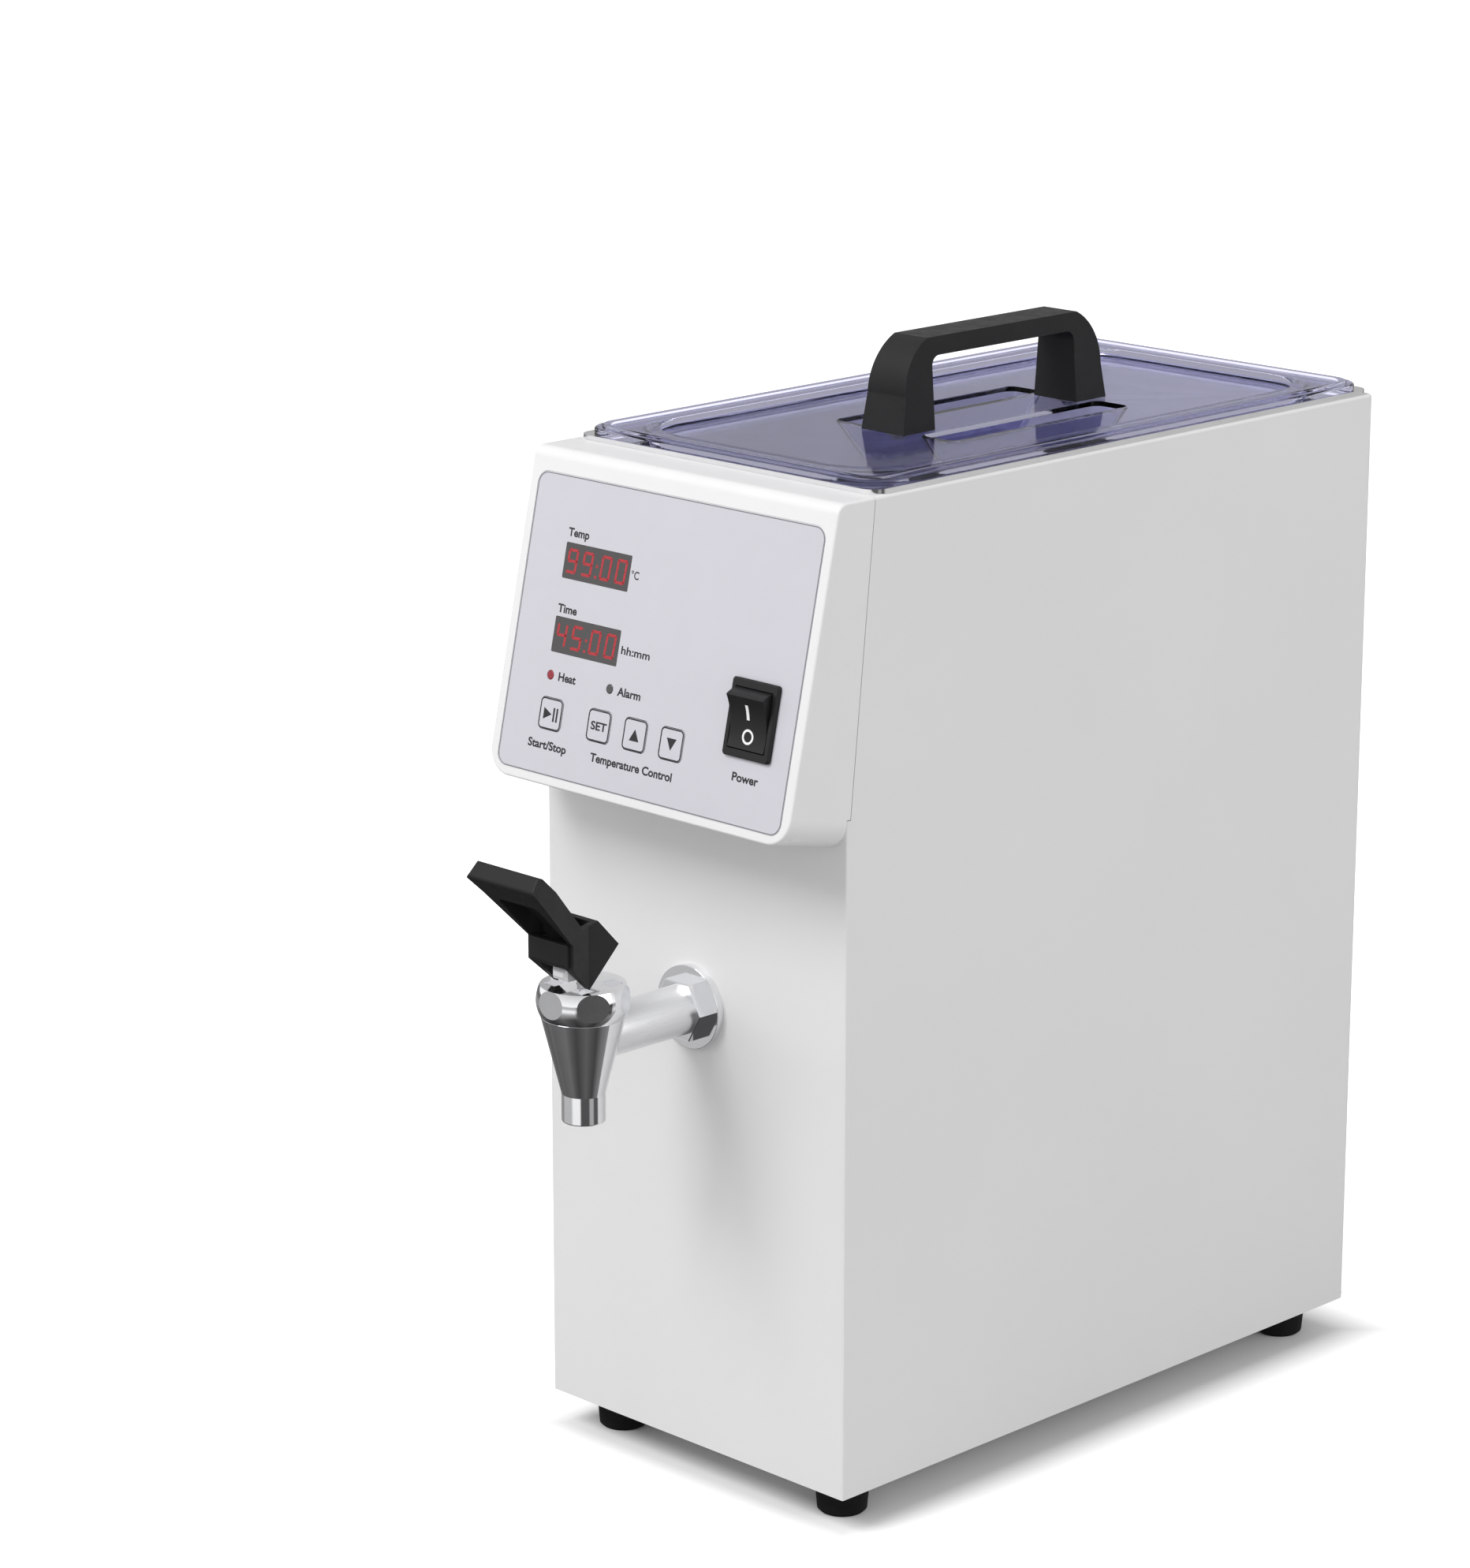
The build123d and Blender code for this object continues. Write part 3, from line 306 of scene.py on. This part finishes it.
# ---------------------------------------------------------------- materials
look = {
    "white_paint": powder_coat("white_powder_coat", (0.77, 0.77, 0.77), 0.42),
    "white_console": moulding("white_console_moulding", (0.785, 0.785, 0.79), 0.34, 1500, 0.05, 0.008),
    "label_film": moulding("label_film_velvet", (0.585, 0.577, 0.627), 0.46, 3200, 0.06, 0.008),
    "smoked_window": moulding("smoked_window_pane", (0.062, 0.058, 0.058), 0.22, 2600, 0.02, 0.05),
    "display_block": moulding("display_block_plastic", (0.03, 0.03, 0.03), 0.5),
    "red_lamp": lamp("red_lamp_plastic", (0.28, 0.022, 0.034), 0.03),
    "grey_lamp": lamp("grey_lamp_plastic", (0.075, 0.075, 0.075), 0.0),
    "black_plastic": moulding("black_plastic_grain", (0.018, 0.018, 0.0185), 0.46, 2100, 0.16, 0.08,
                              Specular_IOR_Level=0.35, IOR=1.33),
    "switch_black": moulding("switch_black_plastic", (0.010, 0.010, 0.0105), 0.42, 2600, 0.08, 0.08,
                             Specular_IOR_Level=0.35),
    "stainless": tank_steel("stainless_pressing", (0.86, 0.86, 0.87)),
    "zinc_steel": polished("zinc_plated_steel", (0.62, 0.63, 0.65), 0.26, (1.0, 1.0, 1.0), 0.05, 0.08),
    "chrome": polished("bright_chrome", (0.86, 0.865, 0.88), 0.085, (1.0, 1.0, 4.0), 0.008, 0.025),
    "satin_nickel": brushed("satin_nickel_tube", (0.88, 0.885, 0.90), 0.34, (2400.0, 60.0, 2400.0), 0.05),
    "clear_lid": clear_moulding("clear_lid_moulding", (0.73, 0.73, 0.92), 0.04, 1.18),
    "rubber": rubber("foot_rubber", (0.010, 0.010, 0.010), 0.62),
    "silicone": rubber("white_silicone", (0.55, 0.55, 0.52), 0.5),
    "insulation": fibre("mineral_wool", (0.66, 0.62, 0.50)),
    "mica": moulding("mica_sheet", (0.20, 0.16, 0.11), 0.4, 400, 0.2, 0.2),
    "circuit_board": circuit_board("lacquered_board"),
    "core_steel": brushed("laminated_core", (0.30, 0.30, 0.32), 0.45, (60.0, 60.0, 3200.0), 0.5),
    "brass": polished("brass_terminal", (0.62, 0.45, 0.18), 0.22),
    "lead_wire": moulding("braided_sleeve", (0.42, 0.05, 0.04), 0.6, 900, 0.4, 0.1),
    "fuse_glass": clear_moulding("fuse_glass_tube", (0.9, 0.93, 0.93), 0.01, 1.5),
}
node_slot = {part["node"]: part["material_slot"] for part in frame["record"]["subparts"]}
for node, obj in nodes.items():
    for material_slot in obj.material_slots:
        material_slot.material = look[node_slot[node]]

black_ink = ink("black_ink", (0.015, 0.015, 0.018))
grey_ink = ink("grey_ink", (0.20, 0.20, 0.22))
white_ink = ink("white_ink", (0.86, 0.86, 0.86))
red_segments = ink("lit_red_segments", (0.43, 0.024, 0.034), 0.4)


# ---------------------------------------------------------------- flat printed pieces
def face_matrix(across, up, out):
    """A place on the sloping console face, in millimetres, as a matrix in metres."""
    slope = Matrix.Rotation(math.pi / 2 - FACE_TILT, 4, "X")
    return Matrix.Translation(FACE_ORIGIN) @ slope @ Matrix.Translation(Vector((across, up, out)) * MM)


def piece(name, bm, material, body, matrix):
    """Finishes a mesh, places it and hands it to a body."""
    bmesh.ops.recalc_face_normals(bm, faces=bm.faces)
    bm.transform(matrix)
    mesh = bpy.data.meshes.new(name)
    bm.to_mesh(mesh)
    bm.free()
    mesh.materials.append(material)
    obj = bpy.data.objects.new(name, mesh)
    bpy.context.scene.collection.objects.link(obj)
    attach(obj, body)


def slab(bm, points, thick):
    """A flat outline in millimetres raised to a thin solid."""
    low = [bm.verts.new((x * MM, y * MM, 0.0)) for x, y in points]
    high = [bm.verts.new((x * MM, y * MM, thick * MM)) for x, y in points]
    bm.faces.new(list(reversed(low)))
    bm.faces.new(high)
    count = len(points)
    for i in range(count):
        j = (i + 1) % count
        bm.faces.new((low[i], low[j], high[j], high[i]))


def band(bm, outer, inner, thick):
    """The thin solid between two outlines with the same number of points."""
    rings = [[bm.verts.new((x * MM, y * MM, z * MM)) for x, y in line]
             for line, z in ((outer, 0.0), (outer, thick), (inner, thick), (inner, 0.0))]
    count = len(outer)
    for a, b in zip(rings, rings[1:] + rings[:1]):
        for i in range(count):
            j = (i + 1) % count
            bm.faces.new((a[i], a[j], b[j], b[i]))


def rounded_outline(x0, x1, y0, y1, corner, steps=8):
    """A rectangle whose corners are rounded in that many steps."""
    points = []
    for cx, cy, start in ((x1 - corner, y1 - corner, 0), (x0 + corner, y1 - corner, 90),
                          (x0 + corner, y0 + corner, 180), (x1 - corner, y0 + corner, 270)):
        for i in range(steps + 1):
            angle = math.radians(start + 90 * i / steps)
            points.append((cx + corner * math.cos(angle), cy + corner * math.sin(angle)))
    return points


def framed(bm, x0, x1, y0, y1, corner, line, steps=8):
    """A printed line along the inside of a rounded outline."""
    outer = rounded_outline(x0, x1, y0, y1, corner, steps)
    inner = rounded_outline(x0 + line, x1 - line, y0 + line, y1 - line, corner - line, steps)
    band(bm, outer, inner, PRINT)


def words(name, text, left, right, up, size, weight, body="housing", face=LABEL_FACE):
    """One printed legend, set on its baseline and drawn out to the width between left and right."""
    curve = bpy.data.curves.new(name, "FONT")
    curve.body = text
    curve.size = size * MM
    curve.offset = weight * MM
    curve.resolution_u = 6
    curve.extrude = PRINT / 2 * MM
    obj = bpy.data.objects.new(name, curve)
    bpy.context.scene.collection.objects.link(obj)
    bpy.context.view_layer.update()
    mesh = bpy.data.meshes.new_from_object(obj.evaluated_get(bpy.context.evaluated_depsgraph_get()))
    bpy.data.objects.remove(obj)
    xs = [vertex.co.x for vertex in mesh.vertices]
    bm = bmesh.new()
    bm.from_mesh(mesh)
    bmesh.ops.remove_doubles(bm, verts=bm.verts, dist=1e-7)
    bmesh.ops.dissolve_degenerate(bm, edges=bm.edges, dist=1e-7)
    bmesh.ops.translate(bm, verts=bm.verts, vec=(-min(xs), 0.0, 0.0))
    bmesh.ops.scale(bm, verts=bm.verts, vec=((right - left) * MM / (max(xs) - min(xs)), 1.0, 1.0))
    piece(name, bm, black_ink, body, face_matrix(left, up, face + WORD_LIFT))


# Name, text, left, right, baseline, size and boldness, in millimetres on the label.
LEGENDS = (
    ("legend_temp", "Temp", -62.1, -49.4, 89.0, 5.0, 0.15),
    ("legend_degrees", "\u00b0C", -21.2, -16.6, 76.8, 4.8, 0.07),
    ("legend_time", "Time", -61.7, -50.1, 56.4, 5.0, 0.15),
    ("legend_hours", "hh:mm", -20.4, -3.2, 45.0, 4.8, 0.10),
    ("legend_heat", "Heat", -55.2, -44.6, 27.7, 5.0, 0.15),
    ("legend_alarm", "Alarm", -19.1, -5.1, 27.6, 5.0, 0.15),
    ("legend_start", "Start/Stop", -67.7, -44.2, -2.2, 5.0, 0.15),
    ("legend_control", "Temperature Control", -29.2, 19.9, -2.2, 5.0, 0.15),
    ("legend_power", "Power", 53.8, 68.8, 5.0, 5.0, 0.15),
)
for legend in LEGENDS:
    words(*legend)


def label_edge():
    """The printed line around the label's edge."""
    bm = bmesh.new()
    framed(bm, -84.8, 84.8, -13.1, 113.9, corner=5.5, line=0.45, steps=12)
    piece("label_edge_line", bm, grey_ink, "housing", face_matrix(0, 0, LABEL_FACE))


label_edge()


# ---------------------------------------------------------------- display digits
# The lit segments of each digit: a on top, then clockwise, and g in the middle.
SEGMENTS = {"0": "abcdef", "4": "bcfg", "5": "acdfg", "9": "abcdfg"}
DIGIT_WIDTH = 5.0
DIGIT_HEIGHT = 9.35
DIGIT_STROKE = 1.25
DIGIT_LEAN = 0.06
DIGIT_STARTS = (-17.9, -8.6, 2.6, 11.9)
# How far a segment's ends are pulled in, in half strokes.
LEVEL_GAP = 0.55
UPRIGHT_GAP = 0.85
COLON_MIDDLE = 0.1
DOT_PLACES = (0.0, -4.6)
DOT_HALF = 0.62
DOT_CORNER = 0.2


def segment_points(which):
    """The outline of one segment, a bar with rounded ends."""
    left, right, bottom, middle, top = 0.0, DIGIT_WIDTH, 0.0, DIGIT_HEIGHT / 2, DIGIT_HEIGHT
    ends = {"a": ((left, top), (right, top)), "d": ((left, bottom), (right, bottom)),
            "g": ((left, middle), (right, middle)), "f": ((left, middle), (left, top)),
            "b": ((right, middle), (right, top)), "e": ((left, bottom), (left, middle)),
            "c": ((right, bottom), (right, middle))}
    (x0, y0), (x1, y1) = ends[which]
    half = DIGIT_STROKE / 2
    level = y0 == y1
    if level:
        along = 0.0
        x0, x1 = x0 + LEVEL_GAP * half, x1 - LEVEL_GAP * half
    else:
        along = math.pi / 2
        y0, y1 = y0 + UPRIGHT_GAP * half, y1 - UPRIGHT_GAP * half
    points = []
    for x, y, start in ((x1, y1, along - math.pi / 2), (x0, y0, along + math.pi / 2)):
        for i in range(7):
            angle = start + math.pi * i / 6
            points.append((x + half * math.cos(angle), y + half * math.sin(angle)))
    return points


def digits(name, text, across, up):
    """Four lit seven-segment digits and their colon, leaning a little to the right."""
    bm = bmesh.new()
    for digit, start in zip(text.replace(":", ""), DIGIT_STARTS):
        for which in SEGMENTS[digit]:
            bar = [(start + x + DIGIT_LEAN * y, y - DIGIT_HEIGHT / 2) for x, y in segment_points(which)]
            slab(bm, bar, PRINT)
    for dot in DOT_PLACES:
        x = COLON_MIDDLE + DIGIT_LEAN * dot
        outline = rounded_outline(x - DOT_HALF, x + DOT_HALF, dot - DOT_HALF, dot + DOT_HALF, DOT_CORNER, 3)
        slab(bm, outline, PRINT)
    piece(name, bm, red_segments, "housing", face_matrix(across, up, WINDOW_FACE))


digits("temperature_digits", "99:00", -42.2, 78.6)
digits("time_digits", "45:00", -42.1, 46.9)


# ---------------------------------------------------------------- key marks
KEYS = {"start": (-56.4, 13.0), "set": (-26.8, 13.0), "up": (-4.95, 13.05), "down": (16.85, 13.05)}
KEY_LINE_HALF = 6.65


def key_marks():
    """The line round each key, and the arrows and bars on it. SET is a word of its own."""
    for key, (across, up) in KEYS.items():
        bm = bmesh.new()
        framed(bm, -KEY_LINE_HALF, KEY_LINE_HALF, -KEY_LINE_HALF, KEY_LINE_HALF, corner=2.1, line=0.6)
        if key == "start":
            slab(bm, [(-4.2, -2.7), (0.7, -0.1), (-4.2, 2.4)], PRINT)
            for left in (1.5, 3.4):
                right = left + 1.0
                slab(bm, [(left, -3.1), (right, -3.1), (right, 2.9), (left, 2.9)], PRINT)
        elif key == "up":
            slab(bm, [(-2.9, -2.6), (2.9, -2.6), (0.0, 2.5)], PRINT)
        elif key == "down":
            slab(bm, [(-2.9, 2.5), (0.0, -2.6), (2.9, 2.5)], PRINT)
        place = face_matrix(across, up, KEY_FACE - KEY_MARK_SINK)
        piece(key + "_key_mark", bm, black_ink, key + "_button", place)


key_marks()
words("set_key_word", "SET", -31.4, -21.9, 11.2, 4.9, 0.14, "set_button", KEY_FACE)


# ---------------------------------------------------------------- rocker marks
SWITCH_PLACE = (60.8, 31.0)
ROCKER_PIVOT = -2.4
ROCKER_LEAN = math.radians(13.0)
ROCKER_PRINT = 0.04
ROCKER_MARK_SINK = 0.015
SCOOP_REACH = 33.5
SCOOP_RADIUS = 28.4
ON_MARK = (-0.1, 6.0)
ON_MARK_HALF = 0.8
OFF_MARK_MIDDLE = (0.2, -7.0)
OFF_MARK_RADII = (3.2, 2.2)


def rocker_face(up):
    """How far the rocker's hollow face stands out at a place up from the switch's middle."""
    scoop_middle = ROCKER_PIVOT + SCOOP_REACH * math.cos(ROCKER_LEAN)
    from_middle = up + SCOOP_REACH * math.sin(ROCKER_LEAN)
    return scoop_middle - math.sqrt(SCOOP_RADIUS ** 2 - from_middle ** 2)


def print_on_rocker(name, bm):
    """Bends a flat mark to the rocker's hollow face and prints it in white."""
    for vertex in bm.verts:
        vertex.co.z += rocker_face(vertex.co.y / MM) * MM
    piece(name, bm, white_ink, "rocker", face_matrix(*SWITCH_PLACE, -ROCKER_MARK_SINK))


def rocker_on_mark():
    """The upright stroke, in steps so that it can bend."""
    bm = bmesh.new()
    low, high = ON_MARK
    steps = 8
    for i in range(steps):
        y0, y1 = (low + (high - low) * k / steps for k in (i, i + 1))
        slab(bm, [(-ON_MARK_HALF, y0), (ON_MARK_HALF, y0), (ON_MARK_HALF, y1), (-ON_MARK_HALF, y1)],
             ROCKER_PRINT)
    print_on_rocker("rocker_on_mark", bm)


def rocker_off_mark():
    """The ring, printed flat and bent like the stroke."""
    bm = bmesh.new()
    x, y = OFF_MARK_MIDDLE
    turns = [step * math.pi / 24 for step in range(48)]
    outer, inner = [[(x + r * math.cos(a), y + r * math.sin(a)) for a in turns] for r in OFF_MARK_RADII]
    band(bm, outer, inner, ROCKER_PRINT)
    print_on_rocker("rocker_off_mark", bm)


rocker_on_mark()
rocker_off_mark()


# ---------------------------------------------------------------- camera
CAMERA_AZIMUTH = math.radians(45.01)
CAMERA_ELEVATION = math.radians(15.006)
CAMERA_FROM_CABINET = Vector((1.42771, -1.40202, 0.83529))


def main_camera():
    """The photo's camera, solved from the cabinet's edges and placed from its low front edge."""
    data = bpy.data.cameras.new("camera")
    data.sensor_fit = "VERTICAL"
    data.sensor_height = 36.0
    data.lens = 112.64
    data.clip_start = 0.05
    camera = bpy.data.objects.new("camera", data)
    bpy.context.scene.collection.objects.link(camera)
    camera.location = Vector((0.0, CABINET_LOW.y, CABINET_LOW.z)) + CAMERA_FROM_CABINET
    level = math.cos(CAMERA_ELEVATION)
    aim = Vector((-math.sin(CAMERA_AZIMUTH) * level, math.cos(CAMERA_AZIMUTH) * level,
                  -math.sin(CAMERA_ELEVATION)))
    camera.rotation_euler = aim.to_track_quat("-Z", "Y").to_euler()
    bpy.context.scene.camera = camera


main_camera()


# ---------------------------------------------------------------- studio
FLOOR_HALF = 30.0
# The floor's glow grows between these distances outside the cabinet's outline.
GLOW_STARTS = -0.004
GLOW_FULL = 0.022


def floor_sheet(surface, height):
    """A wide level sheet under the object. It casts no shadow and isn't seen in reflections."""
    name = surface.material.name
    bm = bmesh.new()
    corners = ((-1, -1), (1, -1), (1, 1), (-1, 1))
    bm.faces.new([bm.verts.new((sx * FLOOR_HALF, sy * FLOOR_HALF, 0.0)) for sx, sy in corners])
    mesh = bpy.data.meshes.new(name)
    bm.to_mesh(mesh)
    bm.free()
    mesh.materials.append(surface.material)
    obj = bpy.data.objects.new(name, mesh)
    obj.matrix_world = Matrix.Translation((0.0, 0.0, height))
    obj.visible_glossy = False
    obj.visible_shadow = False
    bpy.context.scene.collection.objects.link(obj)
    return obj


def floor_surface(name, tone):
    g = Surface(name)
    mottle = g.noise(3.0, 3.0)
    color = g.grey_ramp(mottle, [(0.3, tone - 0.01), (0.7, tone + 0.01)])
    g.finish(color, g.spread(mottle, 0.6, 0.7), Specular_IOR_Level=0.0)
    return g


def glowing_floor(name, tone, glow):
    """The floor that the camera sees: it glows white everywhere but close under the cabinet."""
    g = floor_surface(name, tone)
    x, y, _ = g.axes(g.place)
    across = g.math("SUBTRACT", g.math("ABSOLUTE", x), CABINET_HALF.x)
    along = g.math("ABSOLUTE", g.math("SUBTRACT", y, CABINET_MIDDLE.y))
    along = g.math("SUBTRACT", along, CABINET_HALF.y)
    outside = g.math("MAXIMUM", across, along)
    g.shader.inputs["Emission Color"].default_value = (1.0, 1.0, 1.0, 1.0)
    g.join(g.spread(outside, 0.0, glow, GLOW_STARTS, GLOW_FULL), g.shader.inputs["Emission Strength"])
    return g


floor_sheet(glowing_floor("studio_floor", 0.93, 0.55), 0.0).visible_diffuse = False
floor_sheet(floor_surface("studio_floor_bounce", 0.45), -0.0002).visible_camera = False


def area(name, place, target, size, power):
    data = bpy.data.lights.new(name, "AREA")
    data.shape = "RECTANGLE"
    data.size, data.size_y = size
    data.energy = power
    obj = bpy.data.objects.new(name, data)
    obj.location = place
    obj.rotation_euler = (Vector(target) - Vector(place)).to_track_quat("-Z", "Y").to_euler()
    bpy.context.scene.collection.objects.link(obj)


area("key_light", (-0.7, -2.3, 2.8), (0.0, 0.0, 0.25), (1.6, 1.6), 72.0)
area("side_light", (2.9, 0.55, 1.3), (0.09, 0.05, 0.25), (2.2, 1.8), 21.0)


# Brightness all round, by the direction in degrees from +X: dark screens seen by the chrome just below
# the horizon, softer folds further down, and a wall that is grey on one side above the horizon.
SCREENS = ((-180, 0.30), (-168, 0.30), (-161, 0.52), (-112, 0.52), (-100, 1.0), (-64, 1.0), (-57, 0.09),
           (-18, 0.09), (-11, 0.42), (5, 0.42), (10, 0.10), (30, 0.10), (36, 0.75), (75, 0.75), (90, 0.35),
           (180, 0.30))
FOLDS = ((-180, 0.35), (-150, 0.35), (-105, 1.05), (-68, 0.50), (-33, 1.0), (2, 0.45), (22, 1.2),
         (60, 1.5), (180, 0.35))
WALL = ((-180, 1.0), (60, 1.0), (100, 0.50), (165, 0.50), (180, 1.0))
# Brightness from straight down (0) to straight up (1).
HEIGHTS = ((0.0, 0.05), (0.15, 0.12), (0.28, 0.45), (0.34, 1.0), (0.38, 1.0), (0.43, 0.5), (0.47, 0.5),
           (0.495, 0.95), (0.51, 1.08), (0.70, 0.80), (1.0, 0.40))


def studio_world():
    """A white studio whose screens, folds and wall are set by the direction of the ray."""
    world = bpy.data.worlds.new("studio_world")
    bpy.context.scene.world = world
    world.use_nodes = True
    g = Graph(world.node_tree)
    x, y, z = g.axes(g.add("ShaderNodeTexCoord").outputs["Generated"])
    around = g.spread(g.math("ARCTAN2", y, x), 0.0, 1.0, -math.pi, math.pi)
    screens, folds, wall = (g.grey_ramp(around, [(degrees / 360 + 0.5, value) for degrees, value in stops])
                            for stops in (SCREENS, FOLDS, WALL))
    white = g.grey_ramp(around, [(0.0, 1.0), (1.0, 1.0)])
    height = g.grey_ramp(g.spread(z, 0.0, 1.0, -1.0, 1.0), HEIGHTS)
    below = g.mix(g.spread(z, 0.0, 1.0, -0.45, -0.70), screens, folds)
    above = g.mix(g.spread(z, 0.0, 1.0, 0.35, 0.60), wall, white)
    sides = g.mix(g.spread(z, 0.0, 1.0, -0.06, 0.0), below, above)
    light = g.mix(1.0, height, sides, "MULTIPLY")
    g.join(light, g.tree.nodes["Background"].inputs["Color"])


studio_world()
bpy.context.scene.view_settings.view_transform = "Standard"
